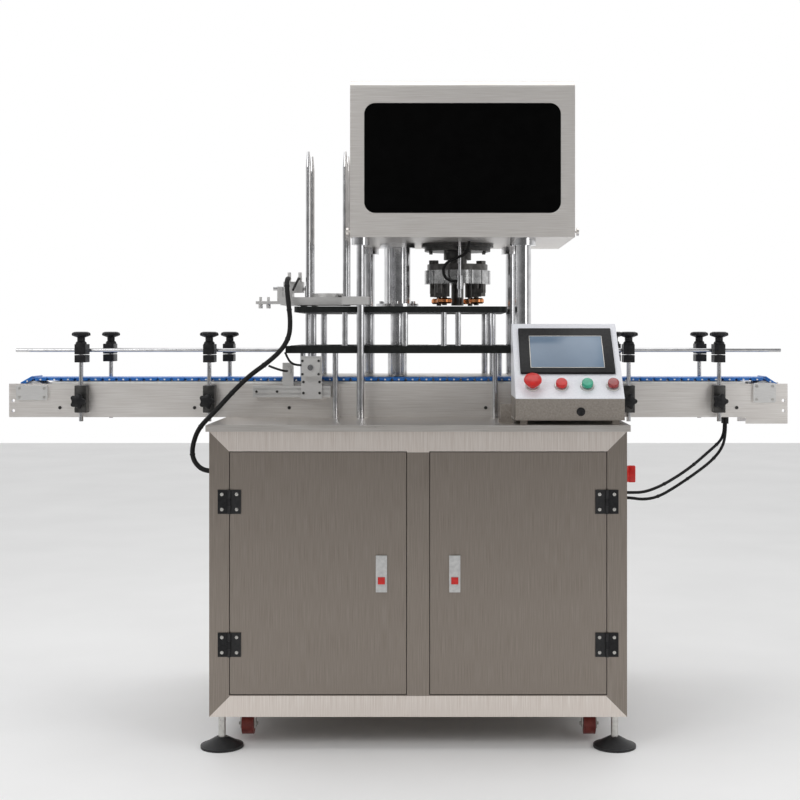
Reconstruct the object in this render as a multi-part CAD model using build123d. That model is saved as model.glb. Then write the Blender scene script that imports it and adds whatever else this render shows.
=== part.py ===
from build123d import *
import math
import os

# Rotary capping machine on a cabinet, with a slat conveyor across it.
# Millimetres. +Z up, floor at Z 0. X runs along the conveyor, -Y is the operator's side.

# ---- driving dimensions ----
CONVEYOR_LENGTH = 2140.0
CONVEYOR_FRONT = -80.0          # outer face of the front side plate
CONVEYOR_WIDTH = 110.0
CONVEYOR_HEIGHT = 92.0
SIDE_PLATE = 5.0
BELT_RISE = 17.0                # belt surface above the side plates
BELT_THICK = 9.0
SPROCKET_R = 32.0
SPROCKET_INSET = 65.0           # from the conveyor's end
CAB_WIDTH = 1050.0
CAB_DEPTH = 800.0
CAB_CENTRE_X = 60.0
CAB_BOTTOM = 83.0
CAB_TOP = 800.0
POST = 50.0                     # frame tube section
TOP_RAIL = 50.0
MULLION = 56.0
PANEL = 3.0
FRAME_WALL = 3.0
TABLE_THICK = 16.0
TABLE_OVERHANG = 8.0
FOOT_INSET = 28.0
FOOT_R = 54.0
FOOT_STEM_R = 9.0
CASTER_INSET = 85.0
CASTER_FROM_EDGE = 100.0        # axle line, from the front or rear face
CASTER_WHEEL_R = 27.0
CASTER_WHEEL_W = 30.0
CASTER_FLOOR_GAP = 12.0
STAR_X, STAR_Y = -10.0, 150.0
STAR_PITCH_R = 175.0
STAR_POCKETS = 8                # a multiple of four: one at the lane while one is under the head
CAN_R = 42.0
GUIDE_RISE = 176.0               # heights above the table
GUIDE_THICK = 20.0
UPPER_RISE = 288.0
UPPER_THICK = 16.0
HOOD_X0, HOOD_X1 = -128.0, 479.0
HOOD_Y0, HOOD_Y1 = -150.0, 370.0
HOOD_RISE = 490.0
HOOD_HEIGHT = 424.0
HOOD_SHEET = 3.0
HOOD_BASE = 12.0
WINDOW_MARGIN_X = 38.0
WINDOW_MARGIN_LOW = 65.0
WINDOW_MARGIN_HIGH = 62.0
WINDOW_CORNER = 30.0
HEAD_RING_R = 96.0
HEAD_RING_H = 39.0
SEAM_ROLLERS = 4
SEAM_ROLLER_R = 22.0
MAGAZINE_X, MAGAZINE_Y = -198.0, -10.0
MAGAZINE_ROD_X, MAGAZINE_ROD_Y = 43.0, 50.0
MAGAZINE_ROD_R = 7.0
MAGAZINE_ROD_H = 402.0
RAIL_RISE = 184.0
RAIL_R = 5.0
GUIDE_POST_R = 6.0
DOOR_GAP = 2.0
CLEAR = 0.5                     # clearance round a fixed shaft in a hole
RUN = 0.06                      # radial running clearance

# ---- places worked out from them ----
TABLE_TOP = CAB_TOP + TABLE_THICK
GUIDE_Z = TABLE_TOP + GUIDE_RISE
UPPER_Z = TABLE_TOP + UPPER_RISE
HOOD_Z0 = TABLE_TOP + HOOD_RISE
HOOD_Z1 = HOOD_Z0 + HOOD_HEIGHT
RAIL_Z = TABLE_TOP + RAIL_RISE
CAB_X0 = CAB_CENTRE_X - CAB_WIDTH / 2
CAB_X1 = CAB_CENTRE_X + CAB_WIDTH / 2
CAB_Y0 = -CAB_DEPTH / 2
CAB_Y1 = CAB_DEPTH / 2
CONVEYOR_BACK = CONVEYOR_FRONT + CONVEYOR_WIDTH
CONVEYOR_MID = (CONVEYOR_FRONT + CONVEYOR_BACK) / 2
CONVEYOR_Z0 = TABLE_TOP
CONVEYOR_Z1 = CONVEYOR_Z0 + CONVEYOR_HEIGHT
BELT_TOP = CONVEYOR_Z1 + BELT_RISE
BELT_R = SPROCKET_R + 0.5 + BELT_THICK
SPROCKET_Z = BELT_TOP - BELT_R
SPROCKET_X = CONVEYOR_LENGTH / 2 - SPROCKET_INSET
HEAD_X, HEAD_Y = STAR_X + STAR_PITCH_R, STAR_Y
GUIDE_TOP = GUIDE_Z + GUIDE_THICK
UPPER_TOP = UPPER_Z + UPPER_THICK
DEAD_PLATE_TOP = BELT_TOP - 1.0
DEAD_PLATE_Z = DEAD_PLATE_TOP - 12.0


def block(x0, x1, y0, y1, z0, z1):
    """A box from its low and high coordinates."""
    centre = Location(((x0 + x1) / 2, (y0 + y1) / 2, (z0 + z1) / 2))
    return Box(x1 - x0, y1 - y0, z1 - z0).moved(centre)


def rod(x, y, z, length, radius, axis="z"):
    """A cylinder that starts at the point and runs along +axis."""
    turn = {"z": (0, 0, 0), "x": (0, 90, 0), "y": (-90, 0, 0)}[axis]
    base = (Align.CENTER, Align.CENTER, Align.MIN)
    return Cylinder(radius, length, align=base).moved(Location((x, y, z), turn))


def cone(x, y, z, length, r0, r1):
    base = (Align.CENTER, Align.CENTER, Align.MIN)
    return Cone(r0, r1, length, align=base).moved(Location((x, y, z)))


def tube(x, y, z, length, radius, bore, axis="z"):
    return rod(x, y, z, length, radius, axis) - rod(x, y, z, length, bore, axis)


def bolt(x, y, z, radius=6.0, head=7.0, axis="z", sign=1):
    """A cap-screw head that stands on a face."""
    if sign < 0:
        x, y, z = (c - head * (axis == a) for c, a in zip((x, y, z), "xyz"))
    return rod(x, y, z, head, radius, axis)


def rounded_plate(x0, x1, y0, y1, z0, z1, corner):
    plate = block(x0, x1, y0, y1, z0, z1)
    return fillet(plate.edges().filter_by(Axis.Z), corner)


NODES = {}


def node(name, *solids):
    """Records one named sub-part of one or more separate solids."""
    found = []
    for s in solids:
        found += list(s.solids())
    NODES[name] = Compound(found) if len(found) > 1 else found[0]


# ---- cabinet ----
BOTTOM_RAIL = 55.0
DOOR_THICK = 20.0
DOOR_Z0 = CAB_BOTTOM + BOTTOM_RAIL
DOOR_Z1 = CAB_TOP - TOP_RAIL
HINGE_LEAF = 29.0
HINGE_HEIGHT = 60.0
HINGE_LEAF_THICK = 4.0
KNUCKLE_R = 4.5
HINGE_PIN_R = 2.0
HINGE_AXIS_Y = CAB_Y0 - KNUCKLE_R - 0.1
HINGE_FROM_END = 126.5          # from the door opening to a hinge's centre
LATCH_W, LATCH_H = 28.0, 92.0
LATCH_FROM_EDGE = 62.0
LATCH_Z = 443.0
LATCH_THICK = 6.0
BUTTON_TRAVEL = 3.0


def hollow_bar(x0, x1, y0, y1, z0, z1, axis):
    """A square tube that is open at both ends of its axis."""
    grow = {a: (1 if a == axis else -FRAME_WALL) for a in "xyz"}
    bore = block(x0 - grow["x"], x1 + grow["x"], y0 - grow["y"], y1 + grow["y"], z0 - grow["z"], z1 + grow["z"])
    return block(x0, x1, y0, y1, z0, z1) - bore


def cabinet():
    posts = [
        hollow_bar(x, x + POST, y, y + POST, CAB_BOTTOM, CAB_TOP, "z")
        for x in (CAB_X0, CAB_X1 - POST)
        for y in (CAB_Y0, CAB_Y1 - POST)
    ]
    rails = []
    for z0, z1 in ((CAB_BOTTOM, DOOR_Z0), (DOOR_Z1, CAB_TOP)):
        for y in (CAB_Y0, CAB_Y1 - POST):
            rails.append(hollow_bar(CAB_X0 + POST, CAB_X1 - POST, y, y + POST, z0, z1, "x"))
        for x in (CAB_X0, CAB_X1 - POST):
            rails.append(hollow_bar(x, x + POST, CAB_Y0 + POST, CAB_Y1 - POST, z0, z1, "y"))
    mullion = hollow_bar(CAB_CENTRE_X - MULLION / 2, CAB_CENTRE_X + MULLION / 2,
                         CAB_Y0, CAB_Y0 + POST, DOOR_Z0, DOOR_Z1, "z")
    node("cabinet_frame", *posts, *rails, mullion)
    side = [
        block(x, x + PANEL, CAB_Y0 + POST, CAB_Y1 - POST, DOOR_Z0, DOOR_Z1)
        for x in (CAB_X0, CAB_X1 - PANEL)
    ]
    rear = block(CAB_X0 + POST, CAB_X1 - POST, CAB_Y1 - PANEL, CAB_Y1, DOOR_Z0, DOOR_Z1)
    floor = block(CAB_X0 + POST, CAB_X1 - POST, CAB_Y0 + POST, CAB_Y1 - POST, DOOR_Z0 - PANEL, DOOR_Z0)
    node("cabinet_panels", *side, rear, floor)
    top = block(CAB_X0 - TABLE_OVERHANG, CAB_X1 + TABLE_OVERHANG,
                CAB_Y0 - TABLE_OVERHANG, CAB_Y1 + TABLE_OVERHANG, CAB_TOP, TABLE_TOP)
    node("table_top", top - rod(STAR_X, STAR_Y, CAB_TOP - 1, TABLE_THICK + 2, SPINDLE_R - 2 + CLEAR))


def feet_and_casters():
    pad_top = 26.0
    feet = []
    for x in (CAB_X0 + FOOT_INSET, CAB_X1 - FOOT_INSET):
        for y in (CAB_Y0 + FOOT_INSET, CAB_Y1 - FOOT_INSET):
            pad = rod(x, y, 0, 6, FOOT_R) + cone(x, y, 6, pad_top - 6, FOOT_R - 3, 15)
            feet.append(pad)
            feet.append(rod(x, y, pad_top, CAB_BOTTOM - pad_top, FOOT_STEM_R))
    node("levelling_feet", *feet)
    forks = []
    axle_r = 4.0
    axle_z = CASTER_FLOOR_GAP + CASTER_WHEEL_R
    half = CASTER_WHEEL_W / 2
    cheek = 3.0
    gap = 1.5
    wheels = {"front": [], "rear": []}
    for x in (CAB_X0 + CASTER_INSET, CAB_X1 - CASTER_INSET):
        for end, y in (("front", CAB_Y0 + CASTER_FROM_EDGE), ("rear", CAB_Y1 - CASTER_FROM_EDGE)):
            outer = half + gap + cheek
            plate = block(x - outer - 8, x + outer + 8, y - 28, y + 28, CAB_BOTTOM - 4, CAB_BOTTOM)
            fork = plate
            for s in (-1, 1):
                x0, x1 = sorted((x + s * (half + gap), x + s * outer))
                fork += block(x0, x1, y - 12, y + 12, axle_z - 10, CAB_BOTTOM - 4)
            fork += rod(x - outer - 5, y, axle_z, 2 * outer + 10, axle_r, "x")
            forks.append(fork)
            wheels[end].append(tube(x - half, y, axle_z, CASTER_WHEEL_W, CASTER_WHEEL_R, axle_r + RUN, "x"))
    node("caster_forks", *forks)
    for end, pair in wheels.items():
        node(f"caster_wheels_{end}", *pair)


def hinge_pair(hinge_x, door_side, z0):
    """The fixed leaf with its pin, and the leaf on the door. door_side is +1 where the door is at +X."""
    y0, y1 = CAB_Y0 - HINGE_LEAF_THICK, CAB_Y0
    third = HINGE_HEIGHT / 3
    gap = 0.3
    reach = KNUCKLE_R + gap

    def leaf(side, spans):
        xs = sorted((hinge_x + side * reach, hinge_x + side * HINGE_LEAF))
        made = block(*xs, y0, y1, z0, z0 + HINGE_HEIGHT)
        for a, b in spans:
            xs = sorted((hinge_x, hinge_x + side * (reach + 1)))
            made += block(*xs, y0, y1 - 0.1, a, b)
            made += rod(hinge_x, HINGE_AXIS_Y, a, b - a, KNUCKLE_R)
        return made

    middle = [(z0 + third + gap, z0 + 2 * third - gap)]
    ends = [(z0, z0 + third), (z0 + 2 * third, z0 + HINGE_HEIGHT)]
    fixed = leaf(-door_side, middle) + rod(hinge_x, HINGE_AXIS_Y, z0 + 1, HINGE_HEIGHT - 2, HINGE_PIN_R)
    moving = leaf(door_side, ends) - rod(hinge_x, HINGE_AXIS_Y, z0 - 1, HINGE_HEIGHT + 2, HINGE_PIN_R + RUN)
    return fixed, moving


def doors():
    fixed_leaves = []
    spans = {
        "left": (CAB_X0 + POST + DOOR_GAP, CAB_CENTRE_X - MULLION / 2 - DOOR_GAP, 1),
        "right": (CAB_CENTRE_X + MULLION / 2 + DOOR_GAP, CAB_X1 - POST - DOOR_GAP, -1),
    }
    for side, (x0, x1, door_side) in spans.items():
        hinge_x = x0 - DOOR_GAP / 2 if door_side > 0 else x1 + DOOR_GAP / 2
        latch_x = (x1 if door_side > 0 else x0) - door_side * LATCH_FROM_EDGE
        y0, y1 = CAB_Y0, CAB_Y0 + DOOR_THICK
        z0, z1 = DOOR_Z0 + DOOR_GAP, DOOR_Z1 - DOOR_GAP
        door = block(x0, x1, y0, y1, z0, z1)
        hollow = 1.5
        door -= block(x0 + hollow, x1 - hollow, y0 + hollow, y1 + 1, z0 + hollow, z1 - hollow)
        well = block(latch_x - 9, latch_x + 9, y0 - 1, y0 + hollow + 1, LATCH_Z - 26, LATCH_Z - 8)
        node(f"door_{side}", door - well)
        pieces = []
        for z in (DOOR_Z0 + HINGE_FROM_END, DOOR_Z1 - HINGE_FROM_END):
            fixed, moving = hinge_pair(hinge_x, door_side, z - HINGE_HEIGHT / 2)
            fixed_leaves.append(fixed)
            pieces.append(moving)
        plate = block(latch_x - LATCH_W / 2, latch_x + LATCH_W / 2, y0 - LATCH_THICK, y0,
                      LATCH_Z - LATCH_H / 2, LATCH_Z + LATCH_H / 2)
        plate -= block(latch_x - 9, latch_x + 9, y0 - LATCH_THICK - 1, y0 + 1, LATCH_Z - 26, LATCH_Z - 8)
        node(f"door_fittings_{side}", *pieces, plate)
        node(f"latch_button_{side}", block(latch_x - 8.7, latch_x + 8.7, y0 - LATCH_THICK - 2,
                                           y0 - 1, LATCH_Z - 25.7, LATCH_Z - 8.3))
    node("hinge_leaves_fixed", *fixed_leaves)


# ---- conveyor ----
DROP_START = 955.0
DROP = 18.0
LINK_HOLE_R = 4.2
LINK_SPACING = 28.0
LINK_FROM_END = 12.0
LINK_Z = CONVEYOR_Z0 + 32.0
SPROCKET_BORE_R = 10.0


def side_plate(y0):
    half = CONVEYOR_LENGTH / 2
    plate = block(-half, half, y0, y0 + SIDE_PLATE, CONVEYOR_Z0, CONVEYOR_Z1)
    plate += block(DROP_START, half, y0, y0 + SIDE_PLATE, CONVEYOR_Z0 - DROP, CONVEYOR_Z0 + 1)
    for s in (-1, 1):
        for k in (-0.5, 0.5):
            z = LINK_Z + k * LINK_SPACING
            plate -= rod(s * (half - LINK_FROM_END), y0 - 1, z, SIDE_PLATE + 2, LINK_HOLE_R, "y")
        plate -= rod(s * SPROCKET_X, y0 - 1, SPROCKET_Z, SIDE_PLATE + 2, SPROCKET_BORE_R + CLEAR, "y")
    return plate


def conveyor():
    inner0, inner1 = CONVEYOR_FRONT + SIDE_PLATE, CONVEYOR_BACK - SIDE_PLATE
    node("conveyor_side_front", side_plate(CONVEYOR_FRONT))
    node("conveyor_side_rear", side_plate(inner1))
    ties = [rod(x, inner0, CONVEYOR_Z0 + 9, inner1 - inner0, 6, "y") for x in (-930, -560, -190, 190, 560, 930)]
    bed_z = SPROCKET_Z + SPROCKET_R - 12
    bed = block(-SPROCKET_X + 50, SPROCKET_X - 50, inner0 + 2, inner1 - 2, bed_z, bed_z + 10)
    node("conveyor_bed", bed, *ties)

    def loop(radius, y0, y1):
        shape = block(-SPROCKET_X, SPROCKET_X, y0, y1, SPROCKET_Z - radius, SPROCKET_Z + radius)
        for s in (-1, 1):
            shape += rod(s * SPROCKET_X, y0, SPROCKET_Z, y1 - y0, radius, "y")
        return shape

    belt = loop(BELT_R, inner0 + 1, inner1 - 1) - loop(BELT_R - BELT_THICK, inner0, inner1)
    node("conveyor_belt", belt)
    width = inner1 - inner0 - 20
    for name, s in (("drive", 1), ("idler", -1)):
        shaft = rod(s * SPROCKET_X, CONVEYOR_FRONT - 6, SPROCKET_Z, CONVEYOR_WIDTH + 12, SPROCKET_BORE_R, "y")
        wheel = rod(s * SPROCKET_X, inner0 + 10, SPROCKET_Z, width, SPROCKET_R, "y")
        node(f"{name}_sprocket", wheel + shaft)
    covers = []
    for s, hx, hz in ((1, 31, 27), (-1, 43, 20)):
        cx = s * SPROCKET_X
        for y0, y1, bore_y in ((CONVEYOR_FRONT - 9, CONVEYOR_FRONT, CONVEYOR_FRONT - 7),
                               (CONVEYOR_BACK, CONVEYOR_BACK + 9, CONVEYOR_BACK - 1)):
            cover = block(cx - hx, cx + hx, y0, y1, SPROCKET_Z - hz, SPROCKET_Z + hz)
            cover = fillet(cover.edges().filter_by(Axis.Y), 6)
            covers.append(cover - rod(cx, bore_y, SPROCKET_Z, 8, SPROCKET_BORE_R + RUN, "y"))
    node("bearing_covers", *covers)


# ---- guide rails ----
BRACKET_X = {"left": (-866.0, -516.0), "right": (630.0, 877.0)}
REAR_BRACKET_X = {"left": (-822.0, -484.0), "right": (610.0, 852.0)}
RAIL_SPAN = {"left": (-1052.0, -330.0), "right": (600.0, 1052.0)}
REAR_RAIL_SPAN = {"left": (-840.0, -330.0), "right": (590.0, 880.0)}
POST_OUT = 22.0                 # from the side plate to the post's centre
POST_LOW = TABLE_TOP - 10
POST_HIGH = TABLE_TOP + 196
BRACKET_Z0, BRACKET_Z1 = TABLE_TOP + 14, TABLE_TOP + 88
STAR_KNOB_Z = TABLE_TOP + 46
GUIDE_TRAVEL = 20.0
CLAMP_W, CLAMP_H = 30.0, 50.0
CLAMP_PAST_RAIL = 7.0           # from the rail's axis to the clamp's inner face


def knob_profile(x, y, z):
    """The round grip on top of a clamp."""
    return rod(x, y, z, 6, 15) + rod(x, y, z + 6, 16, 12) + rod(x, y, z + 22, 12, 25)


def guide_rails():
    brackets = []
    for row, mounts_x, spans, face, out in (
        ("front", BRACKET_X, RAIL_SPAN, CONVEYOR_FRONT, -1),
        ("rear", REAR_BRACKET_X, REAR_RAIL_SPAN, CONVEYOR_BACK, 1),
    ):
        for side in ("left", "right"):
            steel, black = [], []
            post_y = face + out * POST_OUT
            rail_y = face - out * 4
            z0, z1 = RAIL_Z - CLAMP_H / 2 - 8, RAIL_Z + CLAMP_H / 2 - 8
            for x in mounts_x[side]:
                y0, y1 = sorted((face, post_y + out * 10))
                bracket = block(x - 16, x + 16, y0, y1, BRACKET_Z0, BRACKET_Z1)
                bracket -= rod(x, post_y, BRACKET_Z0 - 10, 100, GUIDE_POST_R + RUN)
                brackets.append(bracket)
                knob_y0, knob_y1 = sorted((post_y + out * 10, post_y + out * 20))
                brackets.append(rod(x - 2, knob_y0, STAR_KNOB_Z, knob_y1 - knob_y0, 8, "y"))
                grip_y0, grip_y1 = sorted((post_y + out * 20, post_y + out * 34))
                brackets.append(rod(x - 2, grip_y0, STAR_KNOB_Z, grip_y1 - grip_y0, 22, "y"))
                steel.append(rod(x, post_y, POST_LOW, POST_HIGH - POST_LOW, GUIDE_POST_R))
                y0, y1 = sorted((post_y + out * 14, rail_y - out * CLAMP_PAST_RAIL))
                clamp = block(x - CLAMP_W / 2, x + CLAMP_W / 2, y0, y1, z0, z1)
                clamp -= rod(x, post_y, z0 - 1, POST_HIGH - z0 + 1.1, GUIDE_POST_R + 0.05)
                clamp -= rod(x - 40, rail_y, RAIL_Z, 80, RAIL_R + 0.05, "x")
                black.append(clamp)
                black.append(knob_profile(x, post_y, z1))
            x0, x1 = spans[side]
            steel.append(rod(x0, rail_y, RAIL_Z, x1 - x0, RAIL_R, "x"))
            node(f"guide_{row}_{side}", *steel, *black)
    node("guide_brackets", *brackets)



# ---- turret: star wheel, guide plates, columns ----
GUIDE_X0, GUIDE_X1 = -307.0, 308.0
FRONT_GUIDE_Y = -109.0
REAR_GUIDE_Y = 335.0
LANE_Y0, LANE_Y1 = CONVEYOR_MID - CAN_R - 2, CONVEYOR_MID + CAN_R + 2
SPINDLE_R = 20.0
MAIN_DRIVE_TOP = DOOR_Z0 + 280.0
POST_R = 8.0
FRONT_COLUMN = (341.0, -106.0, 22.0)
THIN_COLUMN = (-101.0, -124.0, 11.0)
REAR_COLUMNS = ((330.0, 320.0, 16.0), (-101.0, 320.0, 16.0))
MAIN_COLUMN_R = 38.0
LOW_POSTS = ((-280.0, 90.0), (-280.0, 310.0), (285.0, 90.0), (285.0, 310.0))
TALL_POSTS = ((-240.0, 328.0), (250.0, 328.0), (-262.0, 215.0), (270.0, 215.0))
SPACER_POSTS = ((-270.0, 140.0), (255.0, 60.0), (-146.0, -90.0), (19.0, -90.0), (125.0, -90.0), (164.0, -90.0))
HEAD_OPENING_R = 62.0
FRONT_POSTS = ((-172.0, -95.0), (265.0, -95.0))
DEAD_X0, DEAD_X1 = -260.0, 315.0


def holes(plate, shafts, z0, z1, clear=CLEAR):
    for x, y, radius in shafts:
        plate -= rod(x, y, z0 - 1, z1 - z0 + 2, radius + clear)
    return plate


def star_wheel():
    disc = rod(STAR_X, STAR_Y, GUIDE_Z, GUIDE_THICK, STAR_PITCH_R - 4)
    for k in range(STAR_POCKETS):
        a = math.radians(-90 + k * 360 / STAR_POCKETS)
        px, py = STAR_X + STAR_PITCH_R * math.cos(a), STAR_Y + STAR_PITCH_R * math.sin(a)
        disc -= rod(px, py, GUIDE_Z - 1, GUIDE_THICK + 2, CAN_R)
    disc -= rod(STAR_X, STAR_Y, GUIDE_Z - 1, GUIDE_THICK + 2, SPINDLE_R)
    node("star_wheel", disc)
    spindle = rod(STAR_X, STAR_Y, TABLE_TOP + 1, GUIDE_Z - TABLE_TOP - 1, SPINDLE_R + 8)
    spindle += rod(STAR_X, STAR_Y, MAIN_DRIVE_TOP + 1, TABLE_TOP - MAIN_DRIVE_TOP, SPINDLE_R - 2)
    spindle += rod(STAR_X, STAR_Y, GUIDE_Z, UPPER_Z - GUIDE_Z - 1, SPINDLE_R)
    node("main_spindle", spindle)


def guide_plates():
    star_clear = STAR_PITCH_R + CAN_R + 2
    clearing = rod(STAR_X, STAR_Y, GUIDE_Z - 1, GUIDE_THICK + 2, star_clear)
    front = block(GUIDE_X0, GUIDE_X1, FRONT_GUIDE_Y, LANE_Y0 - 2, GUIDE_Z, GUIDE_TOP) - clearing
    rear = block(GUIDE_X0, GUIDE_X1, LANE_Y1, REAR_GUIDE_Y, GUIDE_Z, GUIDE_TOP) - clearing
    post_shafts = [(x, y, POST_R) for x, y in LOW_POSTS]
    tower_shafts = [(x, y, POST_R + 2) for x, y in TALL_POSTS]
    shafts = [THIN_COLUMN, *REAR_COLUMNS, *tower_shafts]
    node("guide_plates", holes(front, shafts, GUIDE_Z, GUIDE_TOP), holes(rear, shafts, GUIDE_Z, GUIDE_TOP))
    posts = [
        rod(x, y, TABLE_TOP, GUIDE_Z - TABLE_TOP, POST_R)
        for x, y in (*LOW_POSTS, *FRONT_POSTS)
    ]
    towers = [rod(x, y, TABLE_TOP, UPPER_Z - TABLE_TOP, POST_R + 2) for x, y in TALL_POSTS]
    spacers = [rod(x, y, GUIDE_TOP, UPPER_Z - GUIDE_TOP, POST_R) for x, y in SPACER_POSTS]
    node("turret_posts", *posts, *towers, *spacers)
    dead = block(DEAD_X0, DEAD_X1, CONVEYOR_BACK + 14, REAR_GUIDE_Y, DEAD_PLATE_Z, DEAD_PLATE_TOP)
    every = post_shafts + tower_shafts + [(STAR_X, STAR_Y, SPINDLE_R + 8), *REAR_COLUMNS]
    node("dead_plate", holes(dead, every, DEAD_PLATE_Z, DEAD_PLATE_TOP, 0.3))
    upper = rounded_plate(-286, 300, FRONT_GUIDE_Y, 345, UPPER_Z, UPPER_TOP, 30)
    upper = holes(upper, [*REAR_COLUMNS, (HEAD_X, HEAD_Y, HEAD_OPENING_R)], UPPER_Z, UPPER_TOP)
    node("upper_plate", upper)


def columns():
    made = []
    for x, y, radius in (FRONT_COLUMN, THIN_COLUMN, *REAR_COLUMNS):
        made.append(rod(x, y, TABLE_TOP, HOOD_Z0 - TABLE_TOP, radius))
        made.append(tube(x, y, HOOD_Z0 - 20, 20, radius + 13, radius))
        if (x, y, radius) in REAR_COLUMNS:
            made.append(tube(x, y, TABLE_TOP, 14, radius + 13, radius))
    column = rod(STAR_X, STAR_Y, UPPER_TOP, HOOD_Z0 - UPPER_TOP, MAIN_COLUMN_R)
    column += rod(STAR_X, STAR_Y, UPPER_TOP, 12, MAIN_COLUMN_R + 24)
    column += rod(STAR_X, STAR_Y, HOOD_Z0 - 12, 12, MAIN_COLUMN_R + 14)
    for k in range(6):
        a = math.radians(30 + 60 * k)
        r = MAIN_COLUMN_R + 15
        column += bolt(STAR_X + r * math.cos(a), STAR_Y + r * math.sin(a), UPPER_TOP + 12)
    side_rods = [
        rod(STAR_X + dx, STAR_Y - 52, UPPER_TOP + 12, HOOD_Z0 - 12 - UPPER_TOP - 12, 5) for dx in (-24, 24)
    ]
    node("columns", *made, column, *side_rods)


# ---- hood ----
def hood():
    z0 = HOOD_Z0 + HOOD_BASE
    base = block(HOOD_X0 + HOOD_SHEET + 0.5, HOOD_X1 - HOOD_SHEET - 0.5,
                 HOOD_Y0 + HOOD_SHEET + 0.5, HOOD_Y1 - HOOD_SHEET - 0.5, HOOD_Z0, z0)
    node("hood_base", base)
    outer = block(HOOD_X0, HOOD_X1, HOOD_Y0, HOOD_Y1, HOOD_Z0 - 0.0, HOOD_Z1)
    top_front = outer.edges().filter_by(Axis.X).group_by(Axis.Z)[-1]
    outer = fillet(top_front, 22)
    inner = block(HOOD_X0 + HOOD_SHEET, HOOD_X1 - HOOD_SHEET, HOOD_Y0 + HOOD_SHEET,
                  HOOD_Y1 - HOOD_SHEET, HOOD_Z0 - 1, HOOD_Z1 - HOOD_SHEET)
    inner = fillet(inner.edges().filter_by(Axis.X).group_by(Axis.Z)[-1], 22 - HOOD_SHEET)
    wx0, wx1 = HOOD_X0 + WINDOW_MARGIN_X, HOOD_X1 - WINDOW_MARGIN_X
    wz0, wz1 = HOOD_Z0 + WINDOW_MARGIN_LOW, HOOD_Z1 - WINDOW_MARGIN_HIGH
    window = block(wx0, wx1, HOOD_Y0 - 1, HOOD_Y0 + HOOD_SHEET + 1, wz0, wz1)
    window = fillet(window.edges().filter_by(Axis.Y), WINDOW_CORNER)
    thumb = []
    for x, s in ((HOOD_X0, -1), (HOOD_X1, 1)):
        stud_x0, stud_x1 = sorted((x, x + s * 6))
        thumb.append(rod(stud_x0, HOOD_Y0 + 24, HOOD_Z0 + 16, stud_x1 - stud_x0, 3, "x"))
        grip_x0 = x + 6 if s > 0 else x - 12
        thumb.append(rod(grip_x0, HOOD_Y0 + 24, HOOD_Z0 + 16, 6, 11, "x"))
    node("hood_cover", outer - inner - window, *[a + b for a, b in zip(thumb[::2], thumb[1::2])])
    lip = 12
    pane = block(wx0 - lip, wx1 + lip, HOOD_Y0 + HOOD_SHEET, HOOD_Y0 + HOOD_SHEET + 5, wz0 - lip, wz1 + lip)
    node("hood_window", fillet(pane.edges().filter_by(Axis.Y), WINDOW_CORNER + lip))


# ---- capping head ----
RING_Z = TABLE_TOP + 373
FLANGE_R = 0.6 * STAR_PITCH_R
CARRIER_H = 18.0
SPIN_R = 24.0


def capping_head():
    ring_top = RING_Z + HEAD_RING_H
    carrier_top = ring_top + CARRIER_H
    flange = rod(HEAD_X, HEAD_Y, HOOD_Z0 - 10, 10, FLANGE_R) + rod(HEAD_X, HEAD_Y, HOOD_Z0 - 22, 12, FLANGE_R - 9)
    flange += rod(HEAD_X, HEAD_Y, carrier_top + 14, HOOD_Z0 - 22 - carrier_top - 14, 40)
    for k in range(8):
        a = math.radians(22.5 + 45 * k)
        flange += bolt(HEAD_X + (FLANGE_R - 21) * math.cos(a), HEAD_Y + (FLANGE_R - 21) * math.sin(a), HOOD_Z0 - 28, 5, 6)
    flange -= rod(HEAD_X, HEAD_Y, carrier_top, HOOD_Z0 - carrier_top - 8, SPIN_R + RUN)
    node("head_housing", flange)
    ring = rod(HEAD_X, HEAD_Y, RING_Z, HEAD_RING_H, HEAD_RING_R)
    for k in range(16):
        a = math.radians(k * 22.5)
        x, y = HEAD_X + HEAD_RING_R * math.cos(a), HEAD_Y + HEAD_RING_R * math.sin(a)
        ring -= rod(x, y, RING_Z - 1, HEAD_RING_H + 2, 4)
    ring += rod(HEAD_X, HEAD_Y, ring_top, CARRIER_H, HEAD_RING_R - 8)
    ring += rod(HEAD_X, HEAD_Y, carrier_top, 48, SPIN_R)
    ring += rod(HEAD_X, HEAD_Y, RING_Z - 62, 62, 18)
    rollers = []
    for k in range(SEAM_ROLLERS):
        a = math.radians(-125 + 360 / SEAM_ROLLERS * k)
        x, y = HEAD_X + 66 * math.cos(a), HEAD_Y + 66 * math.sin(a)
        ring += rod(x, y, RING_Z - 37, 37, 15)
        ring += rod(x, y, RING_Z - 62, 26, 7)
        ring += rod(HEAD_X + 88 * math.cos(a), HEAD_Y + 88 * math.sin(a), RING_Z - 26, 26, 9)
        arm = block(-4, 24, -11, 11, RING_Z - 36, RING_Z - 14)
        ring += arm.moved(Location((x, y, 0), (0, 0, math.degrees(a))))
        post_a = a + math.radians(45)
        px, py = HEAD_X + 70 * math.cos(post_a), HEAD_Y + 70 * math.sin(post_a)
        ring += rod(px, py, carrier_top, 12, 14)
        groove = rod(x, y, RING_Z - 57, 16, SEAM_ROLLER_R)
        groove = chamfer(groove.edges().filter_by(GeomType.CIRCLE), 4)
        rollers.append(groove - rod(x, y, RING_Z - 60, 25, 7.05))
    node("head_carrier", ring)
    node("seam_rollers", *rollers)


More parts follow.
